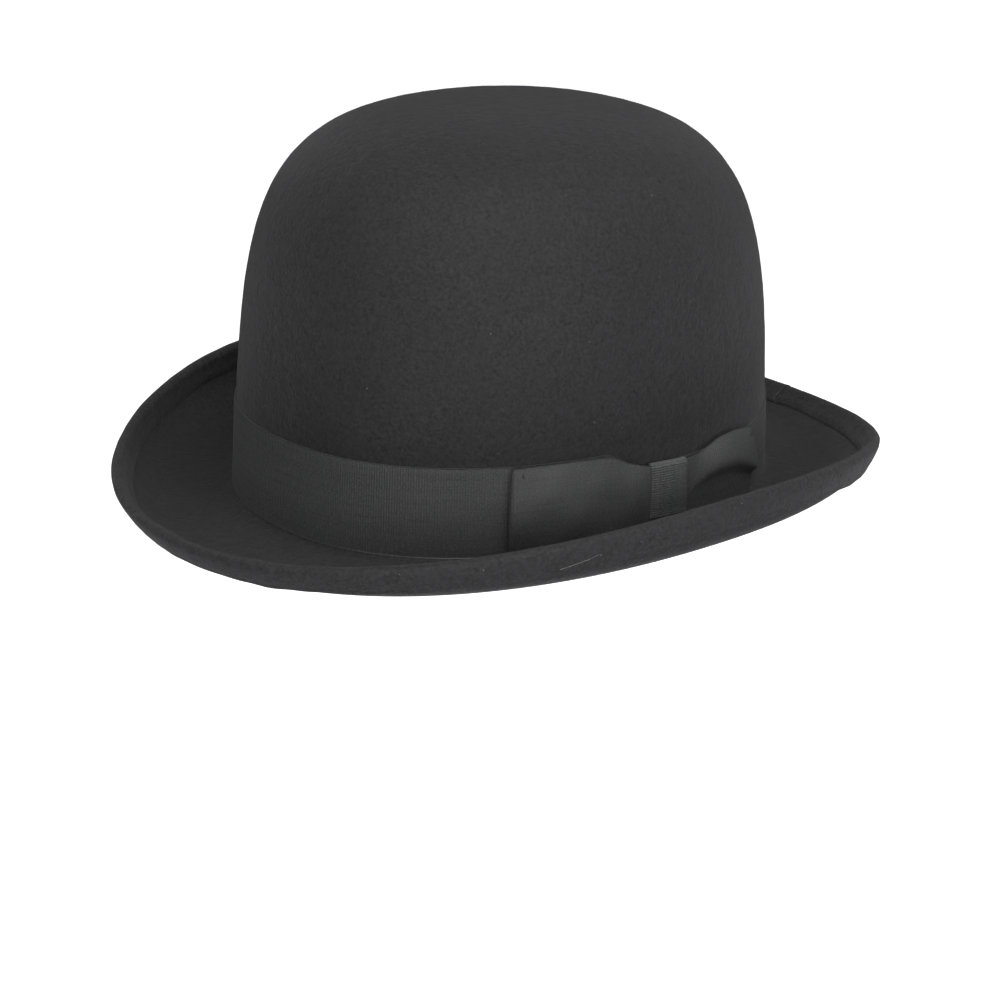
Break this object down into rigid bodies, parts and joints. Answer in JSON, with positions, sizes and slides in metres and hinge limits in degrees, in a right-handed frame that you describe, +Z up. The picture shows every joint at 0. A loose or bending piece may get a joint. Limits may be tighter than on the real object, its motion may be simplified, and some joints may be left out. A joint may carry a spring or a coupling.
{
  "type": "bowler hat",
  "caption": "Stiff felt bowler hat with a round crown, curled and bound brim, grosgrain band with a flat side bow, leather sweatband and satin lining.",
  "frame": {"origin": "centre of the oval head opening, level with the line where the brim leaves the crown", "axes": "+Z up through the crown, +Y towards the back of the head, +X towards the wearer's left, where the bow is"},
  "size_m": [0.2491, 0.2951, 0.1459],
  "materials": {
    "body_felt": "black stiffened wool felt, matt with a short nap",
    "binding_felt": "black wool felt strip, matt",
    "spring_steel": "drawn steel wire",
    "band_ribbon": "black grosgrain, ribs across the ribbon, slight sheen",
    "bow_ribbon": "black grosgrain, ribs across the ribbon, slight sheen",
    "knot_ribbon": "black grosgrain, ribs level, slight sheen",
    "sweatband_leather": "dark brown smooth leather, satin",
    "reed_plastic": "drawn plastic reed",
    "reed_tape": "black coated cotton tape",
    "lining_satin": "black satin, sheen",
    "piping_satin": "black satin cord, sheen",
    "woven_tab": "woven tab, blank",
    "trim_ribbon": "narrow black ribbon"
  },
  "bodies": {
    "root": {"felt_body": "body_felt", "brim_wire": "spring_steel", "brim_binding": "binding_felt", "hat_band": "band_ribbon", "bow_front_loop": "bow_ribbon", "bow_rear_loop": "bow_ribbon", "bow_knot": "knot_ribbon", "sweatband": "sweatband_leather", "sweatband_reed": "reed_plastic", "sweatband_reed_tape": "reed_tape", "side_lining": "lining_satin", "tip_lining": "lining_satin", "lining_piping": "piping_satin", "size_tab": "woven_tab", "sweatband_bow": "trim_ribbon"}
  },
  "joints": []
}
